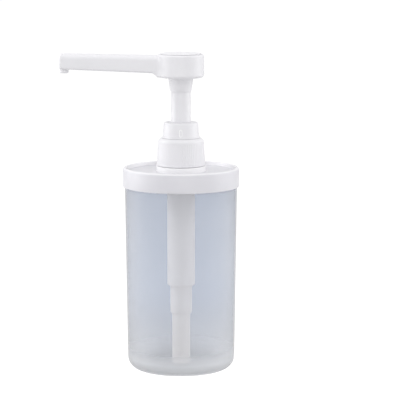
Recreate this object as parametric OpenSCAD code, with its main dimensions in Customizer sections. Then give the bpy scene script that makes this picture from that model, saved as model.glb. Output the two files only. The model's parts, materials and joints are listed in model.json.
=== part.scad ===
// Pump bottle for jam and thick sauces: a hazy bottle, a screw lid and a hand pump with a long spout.
// The origin is the centre of the base, +Z is up and the spout points to -X. All sizes are in millimetres.

/* [Bottle] */
// Height of the bottle from the table to its rim
bottle_h = 185.3; // [160:0.1:230]
// Outside diameter of the body just under the lid
bottle_top_d = 106; // [96:0.5:125]
// Outside diameter of the body just above its rounded base edge
bottle_base_d = 101.6; // [88:0.2:112]
// Wall of the body
bottle_wall = 1.6; // [1.2:0.1:2.2]
// Thickness of the floor
bottle_floor = 1.8; // [1.2:0.1:3]
// Radius of the edge between the side and the base
base_round = 12; // [6:0.5:14]
// Depth of the hollow under the base
punt_depth = 1.2; // [0.6:0.1:2.5]
// Width of the ring that the bottle stands on
foot_w = 4; // [2:0.5:8]
// Radius of the shoulder under the lid
shoulder_round = 2.5; // [2.3:0.1:3.5]
// Clearance between the shoulder and the lid's skirt
shoulder_gap = 0.8; // [0.4:0.1:2]
// Wall of the mouth inside the lid
mouth_wall = 2.1; // [1.4:0.1:3]

/* [Lid] */
// How far the lid's skirt stands out beyond the bottle
lid_overhang = 2; // [1.4:0.1:4]
// Height of the lid from its lower edge to its rim
lid_h = 18.2; // [16:0.2:26]
// Wall of the lid's skirt
lid_wall = 2; // [1.4:0.1:3]
// Thickness of the lid's deck
lid_deck = 1.9; // [1.4:0.1:4.5]
// Height of the raised rim above the deck
lid_rim_h = 3.8; // [1.5:0.1:5]
// Width of the raised rim
lid_rim_w = 3.6; // [3.2:0.1:6]
// Outside rounding of the raised rim
lid_rim_round = 2.2; // [1:0.1:2.4]
// Thickness of the gasket under the deck
lid_gasket_t = 2; // [1:0.1:3]
// Width of the gasket under the deck
lid_gasket_w = 6; // [4.5:0.1:8]
// Pitch of the lid's thread
lid_pitch = 6; // [4.5:0.1:7]
// Depth of the lid's thread
lid_thread_depth = 1.9; // [1.4:0.1:2.4]

/* [Neck and closure] */
// Gap between the pump's barrel and the bore of the lid's neck
neck_clear = 2.9; // [1:0.1:4]
// Wall of the neck under its thread
neck_wall = 2.3; // [1.6:0.1:4]
// Height of the boss ring at the foot of the neck
boss_h = 5.4; // [2:0.1:8]
// How far the boss ring stands out beyond the closure
boss_margin = 0.05; // [0:0.05:2]
// Gap between the boss ring and the closure
closure_lift = 0.3; // [0.3:0.1:4]
// Height of the closure
closure_h = 26.2; // [22:0.1:34]
// Thickness of the closure's top wall
closure_top = 2.2; // [1.6:0.1:3]
// Side wall of the closure at its top, under the ribs
closure_wall = 1.05; // [0.9:0.05:2]
// How far the closure's lower edge stands out beyond its top
closure_flare = 1.2; // [0:0.1:2]
// How far the lip round the closure's lower edge stands out
closure_lip_w = 0.3; // [0.1:0.05:1]
// Width of the closure's rounded shoulder
closure_round_w = 4.7; // [2:0.1:6]
// Height of the closure's rounded shoulder
closure_round_h = 3.8; // [2:0.1:5]
// Number of grip ribs round the closure
rib_count = 70; // [40:1:90]
// Depth of the grip ribs
rib_depth = 0.45; // [0.3:0.05:0.8]
// Pitch of the neck's thread
neck_pitch = 4; // [3:0.1:5]
// Depth of the neck's thread
neck_thread_depth = 1.4; // [1.1:0.1:1.8]
// Thickness of the gasket on the neck
neck_gasket_t = 1; // [0.6:0.1:2]

/* [Guide collar] */
// Height of the collar above the closure
collar_h = 14.5; // [12:0.1:20]
// Wall of the collar outside the barrel
collar_wall = 4.05; // [2:0.05:5]
// Height of the lip round the collar's lower edge
collar_lip_h = 1.7; // [1:0.1:3]
// How far that lip stands out
collar_lip_w = 0.5; // [0.2:0.1:1.2]
// How far the collar draws in towards its top
collar_taper = 0.85; // [0:0.05:1.5]
// Rounding of the collar's top edge
collar_round = 1.4; // [0.6:0.1:1.8]
// Depth to which the barrel enters the collar
collar_grip = 9.3; // [6:0.1:10]
// Length of the guide from the collar's top to the sleeve's lower end
guide_len = 55.8; // [45:0.1:65]
// Wall of the sleeve inside the barrel
sleeve_wall = 2.4; // [2.1:0.1:4]
// Height of the oval index mark on the collar's front
index_h = 7.4; // [5:0.1:9]
// Width of the index mark
index_w = 3.2; // [2.6:0.1:4.5]
// Width of the index mark's raised line
index_line = 0.9; // [0.5:0.1:1.2]
// How far the index mark stands out
index_depth = 0.4; // [0.3:0.1:1.2]
// Height of the wiper seal in the sleeve's lower end
seal_h = 3; // [2:0.1:5]
// Width of the wiper seal
seal_w = 1.6; // [1:0.1:1.9]

/* [Barrel and dip tube] */
// Wall of the barrel
barrel_wall = 1.2; // [1:0.1:2]
// Thickness of the barrel's flange
flange_t = 2; // [1.4:0.1:3]
// Thickness of the disc between the barrel and the valve chamber
step_t = 1.7; // [1.2:0.1:3]
// Diameter of the vent hole in the barrel
vent_d = 2.4; // [1.5:0.1:4]
// Wall of the valve chamber round the dip tube
chamber_wall = 1.65; // [1.2:0.05:2.4]
// Depth to which the dip tube enters the valve chamber
dip_socket = 13.2; // [8:0.1:20]
// Outside diameter of the dip tube
dip_tube_d = 17.1; // [16.5:0.1:19]
// Wall of the dip tube
dip_tube_wall = 0.8; // [0.6:0.1:1.6]
// Gap between the dip tube and the bottle's floor
dip_floor_gap = 2; // [1:0.1:6]

/* [Stem and piston] */
// Outside diameter of the stem
stem_d = 18.7; // [16:0.1:22]
// Wall of the stem
stem_wall = 2.35; // [1.9:0.05:2.6]
// Travel of the pump
stroke = 26; // [16:0.5:32]
// Thickness of the stem's stop shoulder
stop_t = 3; // [2:0.1:5]
// Height of the piston ring
piston_h = 19.6; // [14:0.1:26]
// Height of each piston lip
lip_h = 4; // [2:0.1:5]
// Thickness of the valve seat's flange
seat_flange_t = 3; // [2:0.1:5]
// Length of the valve seat inside the stem
seat_shank = 9; // [7:0.1:14]

/* [Valves and spring] */
// Diameter of the inlet ball
inlet_ball_d = 13; // [11:0.1:14]
// Diameter of the outlet ball
outlet_ball_d = 10; // [8.5:0.1:11]
// Travel of each ball
ball_lift = 4; // [2:0.1:6]
// Height of the ball cage
cage_h = 3.6; // [3:0.1:6]
// Height of the bars that stop the balls
bar_h = 2.1; // [1.4:0.1:2.5]
// Width of the bars that stop the balls
bar_w = 2; // [1.4:0.1:3]
// Thickness of the spring's wire
spring_wire = 1.6; // [1:0.1:2]
// Number of turns of the spring
spring_turns = 10; // [7:1:13]
// Free room left between the turns when the pump is pressed
spring_reserve = 26; // [18:0.5:34]

/* [Head] */
// Diameter of the hub
hub_d = 44; // [40:0.5:54]
// Height of the hub
hub_h = 22; // [18:0.1:26]
// Rounding of the hub's lower edge
hub_round = 3; // [1:0.1:4]
// Rounding of the hub's upper rim
hub_rim_round = 2; // [0.8:0.1:2.2]
// Wall of the hub
hub_wall = 2.4; // [1.8:0.1:3.5]
// Thickness of the hub's floor
hub_floor = 2.4; // [1.6:0.1:4]
// Depth of the cap's seat below the hub's rim
hub_recess = 2.4; // [1.6:0.1:4]
// Thickness of the cap in the hub
cap_t = 3.2; // [2.8:0.1:5]
// Height of the groove round the cap under its top edge
cap_groove_h = 0.4; // [0.3:0.1:1.5]
// Depth of that groove
cap_groove_d = 0.5; // [0.3:0.1:2]
// Length of the tapered socket under the hub
socket_len = 13; // [10:0.1:22]
// Wall of the socket round the stem at its lower end
socket_wall = 0.65; // [0.5:0.05:2]
// How much wider the socket is at the hub
socket_flare = 2; // [0:0.1:3]
// Reach of the spout from the pump's axis to its tip
spout_reach = 114.2; // [80:0.2:150]
// Width of the spout at the hub
arm_w_hub = 16; // [14:0.1:20]
// Width of the spout at its tip
arm_w_tip = 13.5; // [12:0.1:18]
// Height of the spout at the hub
arm_h_hub = 16.8; // [14:0.1:19]
// Height of the spout at its tip
arm_h_tip = 14.8; // [12:0.1:17]
// How far the spout's top lies below the hub's rim where they meet
arm_drop = 0.8; // [0.2:0.1:2]
// How far the spout's top climbs towards its tip
arm_rise = 1.6; // [0:0.1:4]
// Rounding of the spout's upper edges
arm_round = 5.6; // [1:0.1:5.8]
// Rounding of the spout's lower edges
arm_edge = 2; // [1:0.1:3]
// Radius of the corner between the spout and the hub
arm_fillet = 8; // [5:0.5:10]
// How far along the spout the web under it starts, past the rounded corner at the hub
web_reach = 0.6; // [0:0.1:4]
// Diameter of the channel in the spout
channel_d = 7.6; // [5:0.1:8]
// Diameter of the outlet under the tip
nozzle_d = 8.4; // [7:0.1:9]
// Bore of the outlet
nozzle_bore = 5.2; // [3:0.1:6]
// Length of the outlet below the spout
nozzle_len = 4; // [1:0.1:10]
// Distance from the tip to the outlet's axis
nozzle_inset = 4.4; // [4.2:0.1:10]
// Thickness of the plug in the spout's tip
plug_t = 1.4; // [1:0.1:1.5]

/* [Fits] */
// Radial clearance where a piece slides or turns in another
running_gap = 0.08; // [0.02:0.01:0.1]
// Radial clearance between pieces that are pressed or snapped together
fit_gap = 0.05; // [0.02:0.01:0.1]
// Clearance between flat faces that turn on each other
flat_gap = 0.1; // [0.05:0.01:0.3]
// Clearance at the stops of the pump's travel
stop_gap = 0.3; // [0.2:0.1:1]
// Clearance between the socket and the collar at the end of the stroke
press_gap = 3.2; // [0.5:0.1:5]
// Clearance between a ball and its seat or its stop
ball_gap = 0.2; // [0.15:0.05:0.4]
// Radial clearance between a thread's crest and the wall it faces
thread_gap = 0.5; // [0.4:0.05:0.6]
// Clearance between the flanks of two threads
flank_gap = 0.5; // [0.4:0.05:0.8]

/* [Hidden] */
$fn = 96;
// Chamfers and other small breaks of an edge
small_edge = 0.5;
// Depth to which a rib or a thread is rooted in its wall
sink = 0.3;
// How far a cut runs past the face that it opens
overrun = 1;
punt_slope = 2;
lip_flare = 1.1;
seat_land = 0.2;
seat_rim = 1.2;
retainer_wall = 1.3;
cage_margin = 0.6;
spigot_step = 0.85;
spigot_lead = 1;
ledge_w = 1.2;
cap_lip = 0.5;
post_wall = 3;
duct_wall = 1.3;
well_roof = 1.4;
plug_step = 0.9;
tip_round = 2;
tip_angles = [0, 30, 60, 80];
edge_steps = 4;
fillet_steps = 4;
// Share of the corner's radius over which the spout widens into the hub
fillet_share = 0.75;
arm_root = 3;
rib_lead = 1.2;
rib_share = 0.5;
// How far the ribs' crests stay below the bands above and below them
rib_inset = 0.03;
mouth_thread_lead = 2.3;
neck_thread_lead = 7.2;
end_turn_gap = 0.6;
white = [0.95, 0.95, 0.96];
milky = [0.88, 0.88, 0.86];
haze = [0.80, 0.84, 0.90, 0.55];
steel = [0.72, 0.73, 0.75];
soft_grey = [0.78, 0.79, 0.80];

// Radii of the pump, from the stem outwards
stem_r = stem_d / 2;
stem_bore = stem_r - stem_wall;
sleeve_bore = stem_r + running_gap;
sleeve_r = sleeve_bore + sleeve_wall;
barrel_bore = sleeve_r + fit_gap;
barrel_r = barrel_bore + barrel_wall;
stop_r = sleeve_r - small_edge;
lip_r = barrel_bore - running_gap;
piston_core_r = lip_r - lip_flare;
seal_r = sleeve_bore + seal_w;
collar_r = barrel_r + fit_gap + collar_wall;
neck_bore = barrel_r + neck_clear;
neck_root = neck_bore + neck_wall;
neck_crest = neck_root + neck_thread_depth;
closure_bore = neck_crest + thread_gap;
closure_thread_crest = neck_root + thread_gap;
closure_crest_top = closure_bore + closure_wall + rib_depth;
closure_crest_low = closure_crest_top + closure_flare;
closure_hole = barrel_r + stop_gap;
closure_lip_r = closure_crest_low + closure_lip_w;
boss_r = closure_lip_r + boss_margin;
dip_tube_r = dip_tube_d / 2;
chamber_r = dip_tube_r + fit_gap + chamber_wall;
chamber_bore = chamber_r - barrel_wall;

// Radii of the bottle and the lid
body_r = bottle_top_d / 2;
base_r = bottle_base_d / 2;
lid_r = body_r + lid_overhang;
skirt_bore = lid_r - lid_wall;
mouth_crest = skirt_bore - thread_gap;
mouth_root = mouth_crest - lid_thread_depth;
mouth_bore = mouth_root - mouth_wall;
lid_thread_crest = mouth_root + thread_gap;
gasket_r = skirt_bore - stop_gap;
foot_r = base_r - base_round;
foot_in = foot_r - foot_w;
punt_r = foot_in - punt_slope * punt_depth;

// Heights from the bottle's floor to the hub's rim
floor_z = punt_depth + bottle_floor;
gasket_z0 = bottle_h + flat_gap;
gasket_z1 = gasket_z0 + lid_gasket_t;
deck_z0 = gasket_z1 + flat_gap;
deck_z1 = deck_z0 + lid_deck;
lid_z1 = deck_z1 + lid_rim_h;
lid_z0 = lid_z1 - lid_h;
shoulder_z1 = lid_z0 - shoulder_gap;
shoulder_z0 = shoulder_z1 - shoulder_round;
boss_z1 = deck_z1 + boss_h;
closure_z0 = boss_z1 + closure_lift;
closure_z1 = closure_z0 + closure_h;
closure_side_z = closure_z1 - closure_round_h;
ceiling_z = closure_z1 - closure_top;
flange_z1 = ceiling_z - flat_gap;
flange_z0 = flange_z1 - flange_t;
neck_gasket_z0 = flange_z0 - neck_gasket_t;
neck_z1 = neck_gasket_z0 - flat_gap;
collar_z0 = closure_z1 + flat_gap;
collar_z1 = collar_z0 + collar_h;
barrel_z1 = collar_z0 + collar_grip;
socket_z0 = collar_z1 + stroke + press_gap;
hub_z0 = socket_z0 + socket_len;
hub_z1 = hub_z0 + hub_h;

// Heights inside the pump, from the guide sleeve down to the dip tube
sleeve_z0 = collar_z1 - guide_len;
stop_z1 = sleeve_z0 - stop_gap;
stop_z0 = stop_z1 - stop_t;
piston_z1 = stop_z0 - flat_gap;
piston_z0 = piston_z1 - piston_h;
seat_z1 = piston_z0 - flat_gap;
seat_z0 = seat_z1 - seat_flange_t;
spring_z1 = seat_z0 - flat_gap;
spring_h = stroke + spring_turns * spring_wire + spring_reserve;
spring_z0 = spring_z1 - spring_h;
cage_z1 = spring_z0 - flat_gap;
cage_z0 = cage_z1 - cage_h;
step_z0 = cage_z0 - step_t;
inlet_r = inlet_ball_d / 2;
inlet_hole = inlet_r / sqrt(2) - seat_land;
inlet_z = cage_z1 - bar_h - ball_gap - ball_lift - inlet_r;
inlet_seat_z = inlet_z - ball_gap - seat_rise(inlet_r, inlet_hole);
web_z = inlet_seat_z - barrel_wall;
chamber_z0 = web_z - dip_socket;
dip_z0 = floor_z + dip_floor_gap;
outlet_r = outlet_ball_d / 2;
outlet_hole = outlet_r / sqrt(2) - seat_land;
outlet_rim = stem_bore - fit_gap - seat_rim;
shank_z1 = seat_z1 + seat_shank;
outlet_seat_z = shank_z1 - (outlet_rim - outlet_hole);
outlet_z = outlet_seat_z + ball_gap + seat_rise(outlet_r, outlet_hole);
retainer_z0 = outlet_z + outlet_r + ball_lift + ball_gap;
retainer_z1 = retainer_z0 + cage_h;

// Threads are broken into short runs, as moulded threads are at their parting lines
run_step = 45;
run_arc = 39;
turn_runs = 360 / run_step;
lid_thread_w = [2.4, 1.2];
neck_thread_w = [1.8, 0.9];
mouth_thread_z = lid_z0 + mouth_thread_lead;
mouth_runs = floor(turn_runs * (bottle_h - small_edge - lid_thread_w[0] / 2 - mouth_thread_z) / lid_pitch);
lid_thread_z = mouth_thread_z - mean(lid_thread_w) - flank_gap;
lid_thread_a = 360 * (lid_z0 + small_edge + lid_thread_w[0] / 2 - lid_thread_z) / lid_pitch;
neck_thread_z = closure_z0 + neck_thread_lead;
closure_thread_z = neck_thread_z - mean(neck_thread_w) - flank_gap;

// Spring
coil_r = mean([stem_bore, stem_r]);
end_pitch = spring_wire + end_turn_gap;
coil_rise = spring_h - spring_wire;
coil_pitch = (coil_rise - 2 * end_pitch) / (spring_turns - 2);
curl_steps = 8;
wire_sides = 6;
coil_steps = spring_turns * curl_steps;

// Head and spout
hub_r = hub_d / 2;
spigot_r = stem_r - spigot_step;
spigot_z0 = socket_z0 + spigot_lead;
socket_bore = spigot_r + fit_gap;
socket_r0 = stem_r + socket_wall;
socket_r1 = socket_r0 + socket_flare;
cap_z0 = hub_z1 - hub_recess;
cap_z1 = cap_z0 + cap_t;
recess_r = hub_r - hub_wall;
ledge_r = recess_r - ledge_w;
post_r = socket_bore + post_wall;
post_z1 = cap_z0 - small_edge;
cavity_z0 = hub_z0 + hub_floor;
well_z1 = post_z1 - well_roof;
channel_r = channel_d / 2;
duct_r = channel_r + duct_wall;
arm_z1_hub = hub_z1 - arm_drop;
arm_z1_tip = arm_z1_hub + arm_rise;
arm_z0_hub = arm_z1_hub - arm_h_hub;
arm_z0_tip = arm_z1_tip - arm_h_tip;
nozzle_x = spout_reach - nozzle_inset;
nozzle_z0 = arm_z0_tip - nozzle_len;
channel_z1 = mean([arm_z1_tip, arm_z0_tip]);
// The channel climbs towards the tip, and its duct passes just below the cap where it meets the hub's wall
duct_z = cap_z0 - duct_r - small_edge;
channel_z0 = (duct_z - channel_z1 * ledge_r / nozzle_x) / (1 - ledge_r / nozzle_x);
stem_z1 = channel_z0 - channel_r - small_edge;
channel_tilt = atan((channel_z1 - channel_z0) / nozzle_x);
tip_run = spout_reach / cos(channel_tilt);
plug_r = channel_r + plug_step;
arm_start = sqrt(pow(hub_r + arm_fillet, 2) - pow(arm_w_hub / 2 + arm_fillet, 2));

function mean(pair) = (pair[0] + pair[1]) / 2;

// Height of a ball's centre above the lower edge of a 45 degree seat
function seat_rise(ball_r, hole_r) = ball_r * sqrt(2) - hole_r;

// Points along an elliptical arc from angle a0 to angle a1
function arc(c, rx, ry, a0, a1, steps = 6) =
    [for (i = [0:steps]) let (a = a0 + (a1 - a0) * i / steps) [c[0] + rx * cos(a), c[1] + ry * sin(a)]];

function along(a, b, t) = a + (b - a) * t;

module turned(outline) {
    rotate_extrude() polygon(outline);
}

module ring(r0, r1, z0, z1) {
    turned([[r0, z0], [r1, z0], [r1, z1], [r0, z1]]);
}

// Short runs of thread that climb round the axis, from base_r to crest_r
module thread(z0, pitch, start, runs, base_r, crest_r, widths) {
    tilt = atan(pitch / (2 * PI * crest_r));
    base_w = widths[0] / 2;
    crest_w = widths[1] / 2;
    profile = [[base_r, -base_w], [crest_r, -crest_w], [crest_r, crest_w], [base_r, base_w]];
    for (i = [0:runs - 1]) {
        turn = start + (i + 0.5) * run_step;
        translate([0, 0, z0 + pitch * turn / 360])
            rotate([0, 0, turn])
                rotate([tilt, 0, 0])
                    rotate([0, 0, -run_arc / 2])
                        rotate_extrude(angle = run_arc) polygon(profile);
    }
}

// Two crossed bars that let the product past and stop a ball
module crossed_bars(r, z0) {
    for (a = [0, 90])
        rotate([0, 0, a])
            translate([-r, -bar_w / 2, z0])
                cube([2 * r, bar_w, bar_h]);
}

module bottle() {
    inner_round = base_round - bottle_wall;
    outside = concat(
        [[0, punt_depth], [punt_r, punt_depth], [foot_in, 0]],
        arc([foot_r, base_round], base_round, base_round, -90, 0, 9),
        arc([body_r - shoulder_round, shoulder_z0], shoulder_round, shoulder_round, 0, 80, 5),
        [[mouth_root, shoulder_z1], [mouth_root, bottle_h - small_edge], [mouth_root - small_edge, bottle_h]]);
    shoulder_in = shoulder_round - bottle_wall;
    inside = concat(
        [[mouth_bore + small_edge, bottle_h], [mouth_bore, bottle_h - small_edge]],
        [[mouth_bore, shoulder_z0 + shoulder_in]],
        arc([body_r - shoulder_round, shoulder_z0], shoulder_in, shoulder_in, 80, 0, 3),
        arc([foot_r, base_round], inner_round, inner_round, 0, -90, 8),
        [[punt_r, floor_z], [0, floor_z]]);
    color(haze) {
        turned(concat(outside, inside));
        thread(mouth_thread_z, lid_pitch, 0, mouth_runs, mouth_root - sink, mouth_crest, lid_thread_w);
    }
}

module lid() {
    rim_in = lid_r - lid_rim_w;
    skirt = concat(
        [[skirt_bore, lid_z0], [lid_r - small_edge, lid_z0], [lid_r, lid_z0 + small_edge]],
        arc([lid_r - lid_rim_round, lid_z1 - lid_rim_round], lid_rim_round, lid_rim_round, 0, 90),
        arc([rim_in + small_edge, lid_z1 - small_edge], small_edge, small_edge, 90, 180, 3));
    neck = [[rim_in, deck_z1], [boss_r, deck_z1], [boss_r, boss_z1 - small_edge],
        [boss_r - small_edge, boss_z1], [neck_root, boss_z1], [neck_root, neck_z1 - small_edge],
        [neck_root - small_edge, neck_z1], [neck_bore, neck_z1], [neck_bore, deck_z0], [skirt_bore, deck_z0]];
    color(white) {
        turned(concat(skirt, neck));
        thread(lid_thread_z, lid_pitch, lid_thread_a, mouth_runs, skirt_bore + sink, lid_thread_crest,
            lid_thread_w);
        thread(neck_thread_z, neck_pitch, 0, turn_runs, neck_root - sink, neck_crest, neck_thread_w);
    }
}

module lid_gasket() {
    color(soft_grey) ring(gasket_r - lid_gasket_w, gasket_r, gasket_z0, gasket_z1);
}

module pump_closure() {
    root_low = closure_crest_low - rib_depth;
    root_top = closure_crest_top - rib_depth;
    rib_z0 = closure_z0 + rib_lead;
    rib_z1 = closure_side_z - small_edge;
    rib_rise = (rib_z0 - closure_z0) / (closure_side_z - closure_z0);
    crest_low = along(closure_crest_low, closure_crest_top, rib_rise) - rib_inset;
    crest_top = closure_crest_top - rib_inset;
    rib_arc = rib_share * 360 / rib_count;
    rib = [[root_low - sink, rib_z0 - sink], [crest_low, rib_z0 - sink],
        [crest_top, rib_z1 + sink / 2], [root_top - sink, rib_z1 + sink / 2]];
    cap = concat(
        [[closure_bore, closure_z0], [closure_lip_r, closure_z0], [closure_lip_r, rib_z0 - closure_lip_w],
            [closure_crest_low, rib_z0]],
        [[root_low, rib_z0], [root_top, rib_z1], [closure_crest_top, rib_z1]],
        arc([closure_crest_top - closure_round_w, closure_side_z], closure_round_w, closure_round_h, 0, 90, 8),
        [[closure_hole, closure_z1], [closure_hole, ceiling_z], [closure_bore, ceiling_z]]);
    color(white) {
        turned(cap);
        for (i = [0:rib_count - 1])
            rotate([0, 0, i * 360 / rib_count])
                rotate_extrude(angle = rib_arc) polygon(rib);
        thread(closure_thread_z, neck_pitch, 0, turn_runs, closure_bore + sink, closure_thread_crest,
            neck_thread_w);
    }
}

module neck_gasket() {
    color(soft_grey) ring(barrel_r + fit_gap, neck_root - small_edge, neck_gasket_z0, flange_z0);
}

module barrel() {
    color(milky)
        difference() {
            turned([[barrel_bore, step_z0], [barrel_r - small_edge, step_z0], [barrel_r, step_z0 + small_edge],
                [barrel_r, barrel_z1], [barrel_bore, barrel_z1]]);
            translate([0, 0, mean([piston_z0, piston_z1])])
                rotate([0, 90, 0])
                    cylinder(d = vent_d, h = barrel_r + sink);
        }
}

module barrel_flange() {
    color(milky) ring(barrel_r + fit_gap, neck_root - small_edge, flange_z0, flange_z1);
}

// Housing of the inlet ball: a disc that closes the barrel, and a socket for the dip tube below it
module valve_chamber() {
    disc_r = barrel_bore - fit_gap;
    seat_top = chamber_bore - small_edge;
    seat_top_z = inlet_seat_z + seat_top - inlet_hole;
    color(milky)
        turned([[dip_tube_r + fit_gap, chamber_z0], [chamber_r, chamber_z0], [chamber_r, step_z0],
            [disc_r, step_z0], [disc_r, cage_z0], [chamber_bore, cage_z0], [chamber_bore, seat_top_z],
            [seat_top, seat_top_z], [inlet_hole, inlet_seat_z], [inlet_hole, web_z],
            [dip_tube_r + fit_gap, web_z]]);
}

// Slot shape with round ends, upright
module oval(w, h) {
    square([w, h - w], center = true);
    for (side = [-1, 1])
        translate([0, side * (h - w) / 2]) circle(d = w);
}

module guide_collar() {
    top_r = collar_r - collar_taper;
    band_r = collar_r + collar_lip_w;
    band_z = collar_z0 + collar_lip_h;
    outside = concat(
        [[barrel_r + fit_gap, collar_z0], [band_r, collar_z0]],
        [[band_r, band_z - collar_lip_w / 2], [band_r - collar_lip_w / 2, band_z], [collar_r, band_z]],
        arc([top_r - collar_round, collar_z1 - collar_round], collar_round, collar_round, 0, 90, 4),
        [[sleeve_bore + small_edge, collar_z1], [sleeve_bore, collar_z1 - small_edge]]);
    inside = [[sleeve_bore, sleeve_z0 + seal_h], [seal_r, sleeve_z0 + seal_h], [seal_r, sleeve_z0],
        [sleeve_r, sleeve_z0], [sleeve_r, barrel_z1 + flat_gap], [barrel_r + fit_gap, barrel_z1 + flat_gap]];
    color(white) {
        turned(concat(outside, inside));
        translate([0, -collar_r + collar_wall / 2, band_z + index_h / 2])
            rotate([90, 0, 0])
                linear_extrude(collar_wall / 2 + index_depth - collar_taper / 2)
                    difference() {
                        oval(index_w, index_h);
                        oval(index_w - 2 * index_line, index_h - 2 * index_line);
                    }
    }
}

module stem_seal() {
    color(soft_grey)
        ring(sleeve_bore, seal_r - fit_gap, sleeve_z0 + fit_gap, sleeve_z0 + seal_h - fit_gap);
}

module dip_tube() {
    color(milky) ring(dip_tube_r - dip_tube_wall, dip_tube_r, dip_z0, web_z - fit_gap);
}

module ball_cage() {
    ring_in = inlet_r + cage_margin;
    color(white) {
        ring(ring_in, barrel_bore - fit_gap, cage_z0, cage_z1);
        crossed_bars(ring_in + sink, cage_z1 - bar_h);
    }
}

module inlet_ball() {
    color(steel) translate([0, 0, inlet_z]) sphere(inlet_r);
}

// Round wire wound up the axis, with a closed turn at each end
function coil_z(turn) = spring_z0 + spring_wire / 2
    + (turn < 1 ? end_pitch * turn
        : turn > spring_turns - 1 ? coil_rise - end_pitch * (spring_turns - turn)
        : end_pitch + coil_pitch * (turn - 1));
function coil_point(i) = let (a = 360 * i / curl_steps)
    [coil_r * cos(a), coil_r * sin(a), coil_z(i / curl_steps)];
function wire_point(i, k) = let (a = 360 * i / curl_steps, b = 360 * k / wire_sides, r = spring_wire / 2)
    coil_point(i) + r * [cos(b) * cos(a), cos(b) * sin(a), sin(b)];

coil_points = [for (i = [0:coil_steps]) coil_point(i)];
coil_gap = min([for (i = [0:coil_steps]) for (j = [i + curl_steps / 2:1:coil_steps])
    norm(coil_points[i] - coil_points[j])]) - spring_wire;
echo(spring_gap_to_itself = coil_gap);

module return_spring() {
    last = coil_steps * wire_sides;
    points = [for (i = [0:coil_steps]) for (k = [0:wire_sides - 1]) wire_point(i, k)];
    sides = [for (i = [0:coil_steps - 1]) for (k = [0:wire_sides - 1])
        let (a = i * wire_sides + k, b = i * wire_sides + (k + 1) % wire_sides)
            each [[a, b, a + wire_sides], [b, b + wire_sides, a + wire_sides]]];
    ends = [for (k = [1:wire_sides - 2]) each [[0, k + 1, k], [last, last + k, last + k + 1]]];
    color(steel) polyhedron(points, concat(sides, ends));
}

module piston() {
    chamfer = lip_r - piston_core_r;
    color(white)
        turned([[sleeve_bore, piston_z0], [piston_core_r, piston_z0], [lip_r, piston_z0 + chamfer],
            [piston_core_r, piston_z0 + lip_h], [piston_core_r, piston_z1 - lip_h],
            [lip_r, piston_z1 - chamfer], [piston_core_r, piston_z1], [sleeve_bore, piston_z1]]);
}

module valve_seat() {
    shank_r = stem_bore - fit_gap;
    color(white)
        turned([[outlet_hole, seat_z0], [stop_r, seat_z0], [stop_r, seat_z1], [shank_r, seat_z1],
            [shank_r, shank_z1], [outlet_rim, shank_z1], [outlet_hole, outlet_seat_z]]);
}

module outlet_ball() {
    color(steel) translate([0, 0, outlet_z]) sphere(outlet_r);
}

module ball_retainer() {
    ring_r = stem_bore - fit_gap;
    ring_in = ring_r - retainer_wall;
    color(white) {
        ring(ring_in, ring_r, retainer_z0, retainer_z1);
        crossed_bars(ring_in + sink, retainer_z0);
    }
}

module stem() {
    stem_z0 = seat_z1 + flat_gap;
    step_z = spigot_z0 - flat_gap;
    color(white)
        turned([[stem_bore, stem_z0], [stem_r, stem_z0], [stem_r, stop_z0], [stop_r, stop_z0],
            [stop_r, stop_z1], [stem_r, stop_z1], [stem_r, step_z], [spigot_r, step_z],
            [spigot_r, stem_z1], [stem_bore, stem_z1]]);
}

// Share of the way from the spout's root to its tip
function arm_share(x) = max(x - arm_start, 0) / (spout_reach - arm_start);

// Half width of the spout at a distance from the axis, with a rounded corner where it meets the hub
function arm_w(x) = let (into = min(max(arm_start - x, 0), fillet_share * arm_fillet))
    along(arm_w_hub, arm_w_tip, arm_share(x)) / 2
    + arm_fillet - sqrt(arm_fillet * arm_fillet - into * into);

// Underside of the spout, with a web that runs down to the hub's lower edge
function arm_z0(x) = let (web = max(arm_start + web_reach - x, 0))
    max(along(arm_z0_hub, arm_z0_tip, arm_share(x)) - web, hub_z0 + small_edge);

function corner(c, r, a0) = arc(c, r, r, a0, a0 + 90, edge_steps);
function arm_section(w, z0, z1, r, low_r) = concat(
    corner([w - low_r, z0 + low_r], low_r, -90), corner([w - r, z1 - r], r, 0),
    corner([r - w, z1 - r], r, 90), corner([low_r - w, z0 + low_r], low_r, 180));

// Stations of the spout from inside the hub to its tip: distance from the axis and inset of the section
function arm_stations() = concat(
    [[recess_r - arm_root, 0]],
    [for (i = [fillet_steps:-1:0]) [arm_start - fillet_share * arm_fillet * i / fillet_steps, 0]],
    [[arm_start + web_reach + small_edge, 0]],
    [for (a = tip_angles) [spout_reach - tip_round * (1 - sin(a)), tip_round * (1 - cos(a))]]);

function station_section(x, inset) = arm_section(
    arm_w(x) - inset, arm_z0(x) + inset, along(arm_z1_hub, arm_z1_tip, arm_share(x)) - inset,
    max(arm_round - inset, small_edge), max(arm_edge - inset, small_edge));

module arm() {
    stations = arm_stations();
    count = 4 * (edge_steps + 1);
    last = (len(stations) - 1) * count;
    points = [for (s = stations) for (p = station_section(s[0], s[1])) [-s[0], p[0], p[1]]];
    sides = [for (i = [0:len(stations) - 2]) for (k = [0:count - 1])
        let (a = i * count + k, b = i * count + (k + 1) % count)
            each [[a, b, a + count], [b, b + count, a + count]]];
    ends = [for (k = [1:count - 2]) each [[0, k + 1, k], [last, last + k, last + k + 1]]];
    polyhedron(points, concat(sides, ends));
}

// Places its children along the spout's channel, from the pump's axis towards the tip
module along_channel(run) {
    translate([0, 0, channel_z0])
        rotate([0, channel_tilt - 90, 0])
            translate([0, 0, run])
                children();
}

module hub() {
    turned(concat(
        [[0, socket_z0], [socket_r0, socket_z0], [socket_r1, hub_z0]],
        arc([hub_r - hub_round, hub_z0 + hub_round], hub_round, hub_round, -90, 0),
        arc([hub_r - hub_rim_round, hub_z1 - hub_rim_round], hub_rim_round, hub_rim_round, 0, 90, 4),
        [[0, hub_z1]]));
}

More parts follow.
